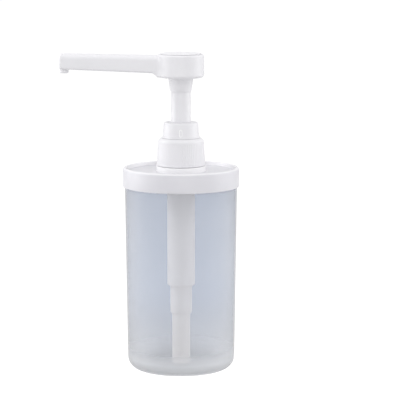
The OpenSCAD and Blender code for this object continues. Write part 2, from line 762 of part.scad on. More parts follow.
module head() {
    above = hub_z1 + overrun;
    below = socket_z0 - overrun;
    color(white)
        difference() {
            union() {
                difference() {
                    union() {
                        hub();
                        arm();
                        translate([-nozzle_x, 0, nozzle_z0])
                            cylinder(d = nozzle_d, h = arm_z0_tip + 2 * sink + arm_edge - nozzle_z0);
                    }
                    turned([[0, post_z1], [post_r, post_z1], [post_r, cavity_z0], [ledge_r, cavity_z0],
                        [ledge_r, cap_z0], [recess_r, cap_z0], [recess_r, above], [0, above]]);
                }
                along_channel(post_r - overrun) cylinder(r = duct_r, h = ledge_r - post_r + overrun + sink);
            }
            turned([[0, below], [stem_r + fit_gap, below], [stem_r + fit_gap, spigot_z0],
                [socket_bore, spigot_z0], [socket_bore, well_z1], [0, well_z1]]);
            along_channel(stem_bore) cylinder(r = channel_r, h = tip_run);
            along_channel(tip_run - plug_t - small_edge) cylinder(r = plug_r, h = plug_t + nozzle_inset);
            translate([-nozzle_x, 0, nozzle_z0 - overrun])
                cylinder(d = nozzle_bore, h = channel_z1 - nozzle_z0 + overrun);
        }
}

module head_cap() {
    edge = recess_r - fit_gap;
    neck = edge - cap_groove_d;
    lip_z = cap_z1 - cap_lip;
    color(white)
        turned(concat(
            [[0, cap_z0], [edge, cap_z0], [edge, lip_z - cap_groove_h], [neck, lip_z - cap_groove_h]],
            [[neck, lip_z]],
            arc([edge - cap_lip, lip_z], cap_lip, cap_lip, 0, 90, edge_steps),
            [[0, cap_z1]]));
}

module spout_plug() {
    color(white) along_channel(tip_run - plug_t - small_edge) cylinder(r = plug_r - fit_gap, h = plug_t);
}

bottle();
lid();
lid_gasket();
pump_closure();
neck_gasket();
barrel();
barrel_flange();
valve_chamber();
guide_collar();
stem_seal();
dip_tube();
ball_cage();
inlet_ball();
return_spring();
piston();
valve_seat();
outlet_ball();
ball_retainer();
stem();
head();
head_cap();
spout_plug();
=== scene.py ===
"""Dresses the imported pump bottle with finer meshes, procedural plastics, light and a camera."""

import json
import math

import bmesh
import bpy
from mathutils import Matrix, Vector


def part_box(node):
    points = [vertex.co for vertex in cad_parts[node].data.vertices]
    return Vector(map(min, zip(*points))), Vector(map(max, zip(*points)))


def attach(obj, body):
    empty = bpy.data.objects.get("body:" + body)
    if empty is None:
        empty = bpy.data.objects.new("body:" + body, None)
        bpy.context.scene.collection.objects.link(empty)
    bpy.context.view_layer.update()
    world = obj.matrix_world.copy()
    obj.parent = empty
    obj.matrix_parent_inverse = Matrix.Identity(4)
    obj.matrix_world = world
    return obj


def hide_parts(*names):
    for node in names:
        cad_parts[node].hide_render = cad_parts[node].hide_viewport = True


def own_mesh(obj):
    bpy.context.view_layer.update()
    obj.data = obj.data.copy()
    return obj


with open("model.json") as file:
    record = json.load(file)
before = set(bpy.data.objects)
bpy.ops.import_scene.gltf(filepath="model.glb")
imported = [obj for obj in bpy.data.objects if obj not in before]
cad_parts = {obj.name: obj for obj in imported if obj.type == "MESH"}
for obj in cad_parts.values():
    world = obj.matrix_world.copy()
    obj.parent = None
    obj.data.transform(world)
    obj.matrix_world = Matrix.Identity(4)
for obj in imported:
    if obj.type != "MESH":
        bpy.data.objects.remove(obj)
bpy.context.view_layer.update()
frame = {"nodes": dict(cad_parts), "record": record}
MM = 0.001


def bottom(node):
    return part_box(node)[0].z / MM


def top(node):
    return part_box(node)[1].z / MM


def radius(node):
    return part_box(node)[1].y / MM


# Sizes of the pieces in millimetres, from the frame where its boxes give them
SEGMENTS = 160
FINE_SEGMENTS = 192
STEM_SEGMENTS = 96
NOZZLE_SEGMENTS = 64
SHARP_ANGLE = math.radians(38)
SMALL_EDGE = 0.5
THIN_EDGE = 0.3
FIT_GAP = 0.05
FLAT_GAP = 0.1
NEAR = 0.1

BODY_R = radius("bottle")
RIM_Z = top("bottle")
BASE_R = 50.8
BASE_ROUND = 12
BOTTLE_WALL = 1.6
FLOOR_Z = 3.0
FLOOR_ROUND = 3
FLOOR_STEP = 0.8
FOOT_W = 4
FOOT_EDGE = 1
FOOT_IN = BASE_R - BASE_ROUND - FOOT_W
PUNT_DEPTH = 1.2
PUNT_R = FOOT_IN - 2 * PUNT_DEPTH
PUNT_ROUND = 4
SHOULDER_ROUND = 2.3
SHOULDER_INNER_ROUND = 0.9
MOUTH_R = 50.6
MOUTH_BORE = 48.5
MOUTH_EDGE = 0.7

LID_R = radius("lid")
LID_Z0 = bottom("lid")
LID_EDGE = 0.7
LID_RIM_Z = LID_Z0 + 18.2
LID_RIM_W = 3.6
LID_RIM_ROUND = 2.2
LID_RIM_PAINTED_LIGHT_BAND = 1.1
DECK_Z0 = top("lid_gasket") + FLAT_GAP
DECK_Z1 = LID_RIM_Z - 3.8
DECK_ROUND = 0.8
SKIRT_BORE = LID_R - 2
SHOULDER_Z = LID_Z0 - 0.8

THREAD_SINK = 0.3
THREAD_GAP = 0.5
THREAD_RUN_OUT = 8
THREAD_END = 0.1
LID_PITCH = 6
LID_THREAD_W = (2.4, 1.2)
LID_THREAD_Z = LID_Z0 + 2.3
LID_THREAD_TURNS = 1.1

CLOSURE_Z0 = bottom("pump_closure")
CLOSURE_Z1 = top("pump_closure")
CLOSURE_LIP_R = radius("pump_closure")
CLOSURE_LIP_EDGE = 0.35
CLOSURE_LIP_H = 0.9
CLOSURE_LIP_STEP = 0.2
CLOSURE_R = CLOSURE_LIP_R - 0.3
CLOSURE_TOP_R = CLOSURE_R - 1.2
CLOSURE_HOLE = 13.38
CLOSURE_CEILING = CLOSURE_Z1 - 2.2
CLOSURE_ROUND = (4.7, 3.8)
RIB_COUNT = 70
RIB_DEPTH = 0.22
RIB_STEPS = 8
RIB_FADE = 0.9
RIB_ROWS = 12

NECK_BORE = 15.98
NECK_R = 18.28
NECK_CREST = 19.68
NECK_EDGES = (0.6, 0.4)
NECK_TOP = top("lid")
NECK_PITCH = 4
NECK_THREAD_W = (1.8, 0.9)
NECK_THREAD_Z = CLOSURE_Z0 + 7.2
CLOSURE_BORE = NECK_CREST + 0.5
BOSS_R = 23.23
BOSS_Z = DECK_Z1 + 5.4
BOSS_ROUND = 0.9
BOSS_FOOT_ROUND = 0.7

COLLAR_Z0 = CLOSURE_Z1 + FLAT_GAP
COLLAR_Z1 = top("guide_collar")
COLLAR_R = 17.18
COLLAR_TOP_R = 16.33
COLLAR_ROUND = 1.4
COLLAR_BORE_ROUND = 0.6
COLLAR_LIP_H = 1.7
COLLAR_LIP_W = 0.5
COLLAR_LIP_ROUND = 0.45
COLLAR_FOOT = 0.4
COLLAR_FOOT_H = (0.1, 0.6)
INDEX_H = 7.4
INDEX_W = 3.2
INDEX_LINE = 0.9
INDEX_DEPTH = 0.4
INDEX_SINK = 1.5

STEM_R = 9.35
STEM_BORE = 7.0
STEM_STOP_H = 3
STEM_STOP_GAP = 0.3
STEM_STEP = 0.9
STEM_STEP_EDGE = 0.2
SPIGOT_R = 8.5
SLEEVE_BORE = 9.43
SLEEVE_R = 11.83
SLEEVE_Z0 = bottom("guide_collar")
SEAL_R = 11.03
SEAL_H = 3

BARREL_R = radius("barrel")
BARREL_BORE = BARREL_R - 1.2
BARREL_Z0 = bottom("barrel")
BARREL_Z1 = top("barrel")
VENT_R = 1.2
VENT_Z = (bottom("piston") + top("piston")) / 2
CHAMBER_R = 10.25
CHAMBER_BORE = 9.05
CHAMBER_EDGES = (0.4, 0.6)
CHAMBER_Z0 = bottom("valve_chamber")
CHAMBER_Z1 = top("valve_chamber")
INLET_HOLE = 4.4
INLET_SEAT_Z = 68.05
WEB_Z = top("dip_tube") + FIT_GAP
TUBE_R = radius("dip_tube")
TUBE_BORE = TUBE_R - 0.8
TUBE_EDGE = 0.2

SPRING_Z0 = bottom("return_spring")
SPRING_Z1 = top("return_spring")
SPRING_WIRE = 1.6
SPRING_R = (STEM_R + STEM_BORE) / 2
SPRING_TURNS = 10
SPRING_END_PITCH = SPRING_WIRE + 0.6

HUB_R = radius("head")
HUB_Z1 = bottom("head_cap") + 2.4
HUB_Z0 = HUB_Z1 - 22
HUB_ROUND = 3
HUB_RIM_ROUND = 2
HUB_ROWS = 16
SOCKET_Z0 = bottom("head")
SOCKET_R0 = 10
SOCKET_R1 = 12
SOCKET_ROOT_ROUND = 0.8
SOCKET_STEP = 1
CAP_R = radius("head_cap")
CAP_Z0 = bottom("head_cap")
CAP_Z1 = top("head_cap")
CAP_LIP = 0.5
CAP_GROOVE = (0.5, 0.4)
CAP_EDGES = (0.2, 0.1, 0.35)
LEDGE_R = 18.4
POST_R = 11.55
CAVITY_Z0 = HUB_Z0 + 2.4
WELL_Z1 = CAP_Z0 - 1.9
SPOUT_REACH = -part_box("head")[0].x / MM
ARM_W_HUB = 8
ARM_W_TIP = 6.75
ARM_Z1_HUB = HUB_Z1 - 0.8
ARM_Z1_TIP = ARM_Z1_HUB + 1.6
ARM_Z0_HUB = ARM_Z1_HUB - 16.8
ARM_Z0_TIP = ARM_Z1_TIP - 14.8
ARM_ROUND = 5.6
ARM_EDGE = 2
ARM_FILLET = 8
ARM_FILLET_REACH = 0.8 * ARM_FILLET
ARM_START = math.sqrt((HUB_R + ARM_FILLET) ** 2 - (ARM_W_HUB + ARM_FILLET) ** 2)
ARM_ROOT = 17
WEB_REACH = 0.6
WEB_FADE = 2
TIP_ROUND = 2
NOZZLE_X = SPOUT_REACH - 4.4
NOZZLE_R = 4.2
NOZZLE_BORE = 2.6
NOZZLE_ROUND = 1.1
NOZZLE_H = 6
NOZZLE_Z0 = ARM_Z0_TIP - 4
CHANNEL_R = 3.8
DUCT_WALL = 1.3
DUCT_Z = CAP_Z0 - CHANNEL_R - DUCT_WALL - SMALL_EDGE
CHANNEL_Z1 = (ARM_Z1_TIP + ARM_Z0_TIP) / 2
CHANNEL_Z0 = (DUCT_Z - CHANNEL_Z1 * LEDGE_R / NOZZLE_X) / (1 - LEDGE_R / NOZZLE_X)
PLUG_R = 4.7
PLUG_DEPTH = 1.9
CUT_PAST = 1
RECESS_PAST = 5


# Mesh tools
def rounded(corners, steps):
    """Closed outline of (r, z) points. A corner given as (r, z, radius) becomes an arc."""
    outline = []
    for i, corner in enumerate(corners):
        here = Vector(corner[:2])
        if len(corner) == 2:
            outline.append(here)
            continue
        back = (Vector(corners[i - 1][:2]) - here).normalized()
        ahead = (Vector(corners[(i + 1) % len(corners)][:2]) - here).normalized()
        half = back.angle(ahead) / 2
        reach = corner[2] / math.tan(half)
        centre = here + (back + ahead).normalized() * corner[2] / math.sin(half)
        first = here + back * reach - centre
        turn = first.angle_signed(here + ahead * reach - centre)
        for k in range(steps + 1):
            outline.append(centre + Matrix.Rotation(-turn * k / steps, 2) @ first)
    return outline


def finished(name, mesh):
    """Object from a bmesh in millimetres, smooth except at its sharp edges."""
    bmesh.ops.recalc_face_normals(mesh, faces=mesh.faces)
    bmesh.ops.scale(mesh, vec=(MM, MM, MM), verts=mesh.verts)
    shade(mesh)
    data = bpy.data.meshes.new(name)
    mesh.to_mesh(data)
    mesh.free()
    piece = bpy.data.objects.new(name, data)
    bpy.context.scene.collection.objects.link(piece)
    return piece


def shade(mesh):
    for face in mesh.faces:
        face.smooth = True
    for edge in mesh.edges:
        edge.smooth = edge.calc_face_angle(0) < SHARP_ANGLE


def skin(mesh, rings):
    """Faces between pairs of rings of vertices. A ring of one vertex is a pole."""
    for low, high in rings:
        count = max(len(low), len(high))
        if count == 1:
            continue
        for k in range(count):
            n = (k + 1) % count
            corners = [low[k % len(low)], low[n % len(low)], high[n % len(high)], high[k % len(high)]]
            mesh.faces.new(list(dict.fromkeys(corners)))


def skin_with_ends(mesh, rings):
    """Faces along a row of rings and over its two ends."""
    skin(mesh, zip(rings, rings[1:]))
    mesh.faces.new(rings[0])
    mesh.faces.new(rings[-1])


def turned(mesh, corners, segments=SEGMENTS, steps=6, shape=None):
    """Turns a closed outline round the axis. shape(r, z, angle) may give another radius."""
    rings = []
    for r, z in rounded(corners, steps):
        if r < 1e-6:
            rings.append([mesh.verts.new((0, 0, z))])
            continue
        ring = []
        for k in range(segments):
            angle = 2 * math.pi * k / segments
            reach = shape(r, z, angle) if shape else r
            ring.append(mesh.verts.new((reach * math.cos(angle), reach * math.sin(angle), z)))
        rings.append(ring)
    skin(mesh, zip(rings, rings[1:] + rings[:1]))
    return mesh


def lathe(name, corners, **options):
    return finished(name, turned(bmesh.new(), corners, **options))


def ridge(mesh, z0, pitch, start, turns, base_r, crest_r, widths, turn_steps=64):
    """Screw thread: a tapered ridge wound up the axis, that runs out at both ends."""
    count = round(turn_steps * turns)
    rings = []
    for i in range(count + 1):
        share = i / count
        turn = start + turns * share
        angle = 2 * math.pi * turn
        z = z0 + pitch * turn
        rise = min(1, THREAD_RUN_OUT * min(share, 1 - share) + THREAD_END)
        crest = base_r + (crest_r - base_r) * rise
        outline = [(base_r, -widths[0]), (crest, -widths[1]), (crest, widths[1]), (base_r, widths[0])]
        ring = []
        for r, width in outline:
            ring.append(mesh.verts.new((r * math.cos(angle), r * math.sin(angle), z + width / 2)))
        rings.append(ring)
    skin_with_ends(mesh, rings)


def combined(piece, operation, *others):
    """Joins or cuts piece with others, which are used up."""
    for other in others:
        step = piece.modifiers.new("step", "BOOLEAN")
        step.operation = operation
        step.solver = "EXACT"
        step.object = other
    result = piece.evaluated_get(bpy.context.evaluated_depsgraph_get())
    data = bpy.data.meshes.new_from_object(result)
    piece.modifiers.clear()
    piece.data = data
    for other in others:
        bpy.data.objects.remove(other)
    mesh = bmesh.new()
    mesh.from_mesh(data)
    shade(mesh)
    mesh.to_mesh(data)
    mesh.free()
    return piece


def rod(name, r, start, end, segments=48):
    """Plain cutter between two points in millimetres."""
    start, end = Vector(start), Vector(end)
    length = (end - start).length
    mesh = bmesh.new()
    turned(mesh, [(0, 0), (r, 0), (r, length), (0, length)], segments)
    turn = (end - start).to_track_quat("Z", "Y").to_matrix().to_4x4()
    bmesh.ops.transform(mesh, matrix=Matrix.Translation(start) @ turn, verts=mesh.verts)
    return finished(name, mesh)


# Material tools
def material(name):
    made = bpy.data.materials.new(name)
    made.use_nodes = True
    nodes = made.node_tree.nodes
    return made, nodes, made.node_tree.links, nodes["Principled BSDF"]


def noise(nodes, links, scale, detail=3, stretch=(1, 1, 1)):
    """Noise in the object's own coordinates, in metres. stretch squeezes it along an axis."""
    place = nodes.new("ShaderNodeTexCoord")
    mapping = nodes.new("ShaderNodeMapping")
    mapping.inputs["Scale"].default_value = stretch
    texture = nodes.new("ShaderNodeTexNoise")
    texture.inputs["Scale"].default_value = scale
    texture.inputs["Detail"].default_value = detail
    links.new(place.outputs["Object"], mapping.inputs["Vector"])
    links.new(mapping.outputs["Vector"], texture.inputs["Vector"])
    return texture.outputs["Fac"]


def stops(nodes, links, source, colours):
    """Colour ramp from (place, colour) pairs."""
    node = nodes.new("ShaderNodeValToRGB")
    elements = node.color_ramp.elements
    while len(elements) < len(colours):
        elements.new(1.0)
    for element, (place, colour) in zip(elements, colours):
        element.position = place
        element.color = (*colour, 1)
    links.new(source, node.inputs["Fac"])
    return node.outputs["Color"]


def ramp(nodes, links, source, low, high, start=0.3, end=0.7, blend="LINEAR"):
    """Maps a noise, a slant or a height onto two colours or two numbers."""
    if isinstance(low, tuple):
        return stops(nodes, links, source, [(start, low), (end, high)])
    node = nodes.new("ShaderNodeMapRange")
    node.interpolation_type = blend
    node.inputs["From Min"].default_value = start
    node.inputs["From Max"].default_value = end
    node.inputs["To Min"].default_value = low
    node.inputs["To Max"].default_value = high
    links.new(source, node.inputs["Value"])
    return node.outputs["Result"]


def joined(nodes, links, first, second, way):
    """Two numbers put together by a way of reckoning, such as ADD."""
    node = nodes.new("ShaderNodeMath")
    node.operation = way
    links.new(first, node.inputs[0])
    links.new(second, node.inputs[1])
    return node.outputs["Value"]


def product(nodes, links, first, second):
    """Two colours multiplied."""
    node = nodes.new("ShaderNodeMix")
    node.data_type = "RGBA"
    node.blend_type = "MULTIPLY"
    node.inputs["Factor"].default_value = 1.0
    links.new(first, node.inputs["A"])
    links.new(second, node.inputs["B"])
    return node.outputs["Result"]


def mixed(nodes, links, share, first, second):
    """Two shaders mixed by a share of the second, a number or a socket."""
    node = nodes.new("ShaderNodeMixShader")
    if isinstance(share, float):
        node.inputs["Fac"].default_value = share
    else:
        links.new(share, node.inputs["Fac"])
    links.new(first, node.inputs[1])
    links.new(second, node.inputs[2])
    return node.outputs["Shader"]


def bump(nodes, links, heights):
    """Chain of bumps from (noise, depth in metres) pairs."""
    normal = None
    for source, depth in heights:
        node = nodes.new("ShaderNodeBump")
        node.inputs["Distance"].default_value = depth
        links.new(source, node.inputs["Height"])
        if normal:
            links.new(normal, node.inputs["Normal"])
        normal = node.outputs["Normal"]
    return normal


# Moulded plastics: scales of their noises per metre, depths in metres
CLOUD_SCALE = 38
GLOSS_SCALE = 240
SINK_SCALE = 55
PEEL_SCALE = 1500
SINK_DEPTH = 0.0001
PEEL_DEPTH = 0.00002
GASKET_DEPTH = 0.00006
SCATTER_DEPTH = 0.0015
WHITE_ROUGH = (0.34, 0.44)
MATT_ROUGH = (0.5, 0.6)
RUBBER_ROUGH = (0.6, 0.75)
WHITE_SOFT = 0.1
MILKY_SOFT = 0.2


def moulded_plastic(name, dark, light, rough, grain=PEEL_DEPTH, soft=0.0):
    """Injection moulded plastic: faint clouding, uneven gloss, fine orange peel and a slight sink."""
    made, nodes, links, shader = material(name)
    cloud = noise(nodes, links, CLOUD_SCALE)
    gloss = noise(nodes, links, GLOSS_SCALE)
    peel = noise(nodes, links, PEEL_SCALE, 2)
    sink = noise(nodes, links, SINK_SCALE, 1)
    links.new(ramp(nodes, links, cloud, dark, light), shader.inputs["Base Color"])
    links.new(ramp(nodes, links, gloss, *rough), shader.inputs["Roughness"])
    links.new(bump(nodes, links, [(sink, SINK_DEPTH), (peel, grain)]), shader.inputs["Normal"])
    shader.inputs["Subsurface Weight"].default_value = soft
    shader.inputs["Subsurface Radius"].default_value = (1, 1, 1)
    shader.inputs["Subsurface Scale"].default_value = SCATTER_DEPTH
    return made


# Hazy plastic: tints of the clear share by slant, then the haze, then both near the base, where they are
# darkened as painted contact shadow.
# A haze is given as its two shares and the slants or heights in metres that they belong to.
EVEN_CASTS = [(0.0, (0.824, 0.843, 0.878)), (1.0, (0.80, 0.82, 0.86))]
SLANT_CASTS = [
    (0.03, (0.79, 0.815, 0.86)),
    (0.15, (0.805, 0.827, 0.867)),
    (0.40, (0.83, 0.845, 0.872)),
    (0.56, (0.82, 0.83, 0.85)),
    (0.70, (0.79, 0.80, 0.82)),
    (0.78, (0.705, 0.713, 0.73)),
    (1.0, (0.62, 0.626, 0.64)),
]
HAZE_COLOURS = ((0.78, 0.795, 0.825), (0.82, 0.835, 0.865))
HAZE_ROUGH = (0.30, 0.42)
HAZE_THROUGH = 0.45
WALL_HAZE = (0.10, 0.125)
SLANT_HAZE = (0.0, 0.08, 0.30, 0.65)
BASE_HEIGHT = 0.075
BASE_HAZE = (0.14, 0.0, 0.0, BASE_HEIGHT)
CORNER_HAZE = (0.36, 0.0, 0.004, 0.024)
# Haze colours by height in metres, darker towards the foot: painted contact shadow
BASE_HAZE_PAINTED_SHADE = [
    (0.004, (0.62, 0.62, 0.625)),
    (0.012, (0.89, 0.89, 0.895)),
    (0.020, (0.95, 0.95, 0.955)),
    (BASE_HEIGHT, (1.0, 1.0, 1.0)),
]
# Tints of the clear share by height: darker and less bluish towards the foot, painted contact shadow
BASE_CASTS_AND_PAINTED_SHADE = [
    (0.0015, (0.87, 0.86, 0.845)),
    (0.006, (0.995, 0.98, 0.955)),
    (BASE_HEIGHT, (1.0, 1.0, 1.0)),
]
HAZE_CLOUD_SCALE = 22
HAZE_PEEL_SCALE = 900
HAZE_PEEL_DEPTH = 0.00001
FLOW_SCALE = 60
FLOW_DETAIL = 4
FLOW_STRETCH = (1, 1, 0.12)
FLOW_DEPTH = 0.00008


def hazy_plastic(name, casts):
    """Natural polypropylene: a clear share with a bluish cast, and a haze that scatters light.

    At a slant light's way through the wall is longer, which changes the cast and adds haze."""
    made, nodes, links, shader = material(name)
    place = nodes.new("ShaderNodeTexCoord")
    parts = nodes.new("ShaderNodeSeparateXYZ")
    links.new(place.outputs["Object"], parts.inputs["Vector"])
    height = parts.outputs["Z"]
    slant = nodes.new("ShaderNodeLayerWeight").outputs["Facing"]
    cloud = noise(nodes, links, HAZE_CLOUD_SCALE)
    flow = noise(nodes, links, FLOW_SCALE, FLOW_DETAIL, FLOW_STRETCH)
    peel = noise(nodes, links, HAZE_PEEL_SCALE, 2)
    # Haze, which throws light back and lets some through
    # The haze is darkened towards the foot: painted contact shadow
    base_haze_shade = stops(nodes, links, height, BASE_HAZE_PAINTED_SHADE)
    colour = product(nodes, links, ramp(nodes, links, cloud, *HAZE_COLOURS), base_haze_shade)
    links.new(colour, shader.inputs["Base Color"])
    links.new(ramp(nodes, links, flow, *HAZE_ROUGH), shader.inputs["Roughness"])
    relief = bump(nodes, links, [(flow, FLOW_DEPTH), (peel, HAZE_PEEL_DEPTH)])
    links.new(relief, shader.inputs["Normal"])
    through = nodes.new("ShaderNodeBsdfTranslucent")
    links.new(colour, through.inputs["Color"])
    haze = mixed(nodes, links, HAZE_THROUGH, shader.outputs["BSDF"], through.outputs["BSDF"])
    # Clear share
    # The clear share is darkened towards the foot: painted contact shadow
    base_cast_and_shade = stops(nodes, links, height, BASE_CASTS_AND_PAINTED_SHADE)
    clear = nodes.new("ShaderNodeBsdfTransparent")
    links.new(product(nodes, links, stops(nodes, links, slant, casts), base_cast_and_shade), clear.inputs["Color"])
    # The moulded base is thicker, most of all at its corner, so it is hazier
    edge = ramp(nodes, links, slant, *SLANT_HAZE)
    base = ramp(nodes, links, height, *BASE_HAZE, blend="SMOOTHSTEP")
    corner = ramp(nodes, links, height, *CORNER_HAZE, blend="SMOOTHSTEP")
    share = joined(nodes, links, edge, base, "MAXIMUM")
    share = joined(nodes, links, share, corner, "ADD")
    share = joined(nodes, links, share, ramp(nodes, links, cloud, *WALL_HAZE), "ADD")
    shown = mixed(nodes, links, share, clear.outputs["BSDF"], haze)
    # Light reaches the pump through the wall as it does through thin haze
    path = nodes.new("ShaderNodeLightPath")
    open_wall = nodes.new("ShaderNodeBsdfTransparent")
    for ray in ("Is Shadow Ray", "Is Diffuse Ray"):
        shown = mixed(nodes, links, path.outputs[ray], shown, open_wall.outputs["BSDF"])
    links.new(shown, nodes["Material Output"].inputs["Surface"])
    return made


WIRE_SCALE = 900
WIRE_STRETCH = (1, 1, 0.05)
WIRE_DEPTH = 0.00001
STEEL_COLOURS = ((0.55, 0.56, 0.58), (0.72, 0.73, 0.75))
STEEL_ROUGH = (0.18, 0.32)


def steel():
    """Bright drawn steel with fine lines along the wire."""
    made, nodes, links, shader = material("bright_steel")
    lines = noise(nodes, links, WIRE_SCALE, 4, WIRE_STRETCH)
    shader.inputs["Metallic"].default_value = 1.0
    links.new(ramp(nodes, links, lines, *STEEL_COLOURS), shader.inputs["Base Color"])
    links.new(ramp(nodes, links, lines, *STEEL_ROUGH), shader.inputs["Roughness"])
    links.new(bump(nodes, links, [(lines, WIRE_DEPTH)]), shader.inputs["Normal"])
    return made


HAZY = hazy_plastic("hazy_polypropylene", SLANT_CASTS)
HAZY_INSIDE = hazy_plastic("hazy_polypropylene_inside", EVEN_CASTS)
WHITE = moulded_plastic(
    "white_polypropylene", (0.71, 0.705, 0.73), (0.734, 0.729, 0.754), WHITE_ROUGH, soft=WHITE_SOFT)
# A darker copy of the white plastic for the lid's skirt, deck and threads: painted shade
LID_WHITE_PAINTED_SHADE = moulded_plastic(
    "lid_polypropylene_painted_shade", (0.635, 0.63, 0.67), (0.66, 0.655, 0.69), WHITE_ROUGH, soft=WHITE_SOFT)
# A lighter copy of the white plastic: painted light on the lid's rim wall, boss and neck and on the
# collar's index mark
WHITE_PAINTED_LIGHT = moulded_plastic(
    "polypropylene_painted_light", (0.855, 0.85, 0.865), (0.88, 0.875, 0.89), WHITE_ROUGH, soft=WHITE_SOFT)
MILKY = moulded_plastic(
    "milky_polypropylene", (0.925, 0.865, 0.83), (0.955, 0.895, 0.86), MATT_ROUGH, soft=MILKY_SOFT)
INNER = moulded_plastic("plain_polyethylene", (0.82, 0.82, 0.79), (0.88, 0.88, 0.86), MATT_ROUGH)
GASKET = moulded_plastic(
    "silicone_gasket", (0.58, 0.58, 0.58), (0.66, 0.66, 0.67), RUBBER_ROUGH, grain=GASKET_DEPTH)
SLOTS = {
    "hazy_plastic": HAZY,
    "white_plastic": WHITE,
    "milky_plastic": MILKY,
    "inner_plastic": INNER,
    "gasket": GASKET,
    "steel": steel(),
}


def dress(piece, body, slot, *nodes, look=None):
    """Puts a piece on its body in place of CAD nodes, with its slot's material or a look of its own."""
    piece.data.materials.clear()
    piece.data.materials.append(look or SLOTS[slot])
    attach(piece, body)
    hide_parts(*nodes)


# Bottle
INWARD_SHARE = 0.2
LEVEL_SHARE = 0.7


def make_bottle():
    side = (BODY_R - BASE_R) / (SHOULDER_Z - BASE_ROUND)
    base_r = BASE_R - BASE_ROUND * side
    inner_z = SHOULDER_Z - BOTTLE_WALL
    mesh = bmesh.new()
    turned(mesh, [
        (0, PUNT_DEPTH), (PUNT_R, PUNT_DEPTH, PUNT_ROUND), (FOOT_IN, 0, FOOT_EDGE),
        (base_r, 0, BASE_ROUND), (BODY_R, SHOULDER_Z, SHOULDER_ROUND), (MOUTH_R, SHOULDER_Z),
        (MOUTH_R, RIM_Z, MOUTH_EDGE), (MOUTH_BORE, RIM_Z, MOUTH_EDGE),
        (MOUTH_BORE, inner_z), (BODY_R - BOTTLE_WALL, inner_z, SHOULDER_INNER_ROUND),
        (base_r - BOTTLE_WALL, BOTTLE_WALL, BASE_ROUND - BOTTLE_WALL),
        (FOOT_IN - FLOOR_STEP, BOTTLE_WALL, FLOOR_ROUND), (PUNT_R, FLOOR_Z, FLOOR_ROUND), (0, FLOOR_Z)],
        segments=FINE_SEGMENTS, steps=10)
    ridge(mesh, LID_THREAD_Z, LID_PITCH, 0, LID_THREAD_TURNS,
          MOUTH_R - THREAD_SINK, SKIRT_BORE - THREAD_GAP, LID_THREAD_W)
    bottle = finished("bottle_shell", mesh)
    dress(bottle, "bottle", "hazy_plastic", "bottle")
    bottle.data.materials.append(HAZY_INSIDE)
    for face in bottle.data.polygons:
        outward = face.normal.x * face.center.x + face.normal.y * face.center.y
        inside = outward < -INWARD_SHARE * face.center.length
        face.material_index = int(inside or abs(face.normal.z) > LEVEL_SHARE)


# Lid
def make_lid():
    rim_in = LID_R - LID_RIM_W
    mesh = bmesh.new()
    turned(mesh, [
        (SKIRT_BORE, LID_Z0, THIN_EDGE), (LID_R, LID_Z0, LID_EDGE), (LID_R, LID_RIM_Z, LID_RIM_ROUND),
        (rim_in, LID_RIM_Z, LID_EDGE), (rim_in, DECK_Z1, DECK_ROUND),
        (BOSS_R, DECK_Z1, BOSS_FOOT_ROUND), (BOSS_R, BOSS_Z, BOSS_ROUND), (NECK_R, BOSS_Z, SMALL_EDGE),
        (NECK_R, NECK_TOP, NECK_EDGES[0]), (NECK_BORE, NECK_TOP, NECK_EDGES[1]),
        (NECK_BORE, DECK_Z0), (SKIRT_BORE, DECK_Z0)], segments=FINE_SEGMENTS)
    inner_z = LID_THREAD_Z - sum(LID_THREAD_W) / 2 - THREAD_GAP
    inner_start = (LID_Z0 + SMALL_EDGE + LID_THREAD_W[0] / 2 - inner_z) / LID_PITCH
    ridge(mesh, inner_z, LID_PITCH, inner_start, LID_THREAD_TURNS,
          SKIRT_BORE + THREAD_SINK, MOUTH_R + THREAD_GAP, LID_THREAD_W)
    ridge(mesh, NECK_THREAD_Z, NECK_PITCH, 0, 1, NECK_R - THREAD_SINK, NECK_CREST, NECK_THREAD_W)
    lid = finished("lid_moulding", mesh)
    dress(lid, "lid", "white_plastic", "lid", look=LID_WHITE_PAINTED_SHADE)
    # The skirt, deck and threads keep the darker copy of the white plastic, painted shade; the rim's
    # rounded top band takes the plain white and the rim's inner wall, boss and neck the lighter copy,
    # both painted light
    lid.data.materials.append(WHITE)
    lid.data.materials.append(WHITE_PAINTED_LIGHT)
    # Faces get the shaded, plain or lit copy by where they sit: painted shade and painted light
    for face in lid.data.polygons:
        reach = math.hypot(face.center.x, face.center.y) / MM
        z = face.center.z / MM
        rim_wall_painted_light = rim_in - NEAR < reach < rim_in + SMALL_EDGE and z > DECK_Z1 + THIN_EDGE
        if rim_wall_painted_light or (reach < BOSS_R + NEAR and z > DECK_Z1 + NEAR):
            face.material_index = 2
        elif reach > rim_in - NEAR and z > LID_RIM_Z - LID_RIM_PAINTED_LIGHT_BAND:
            face.material_index = 1


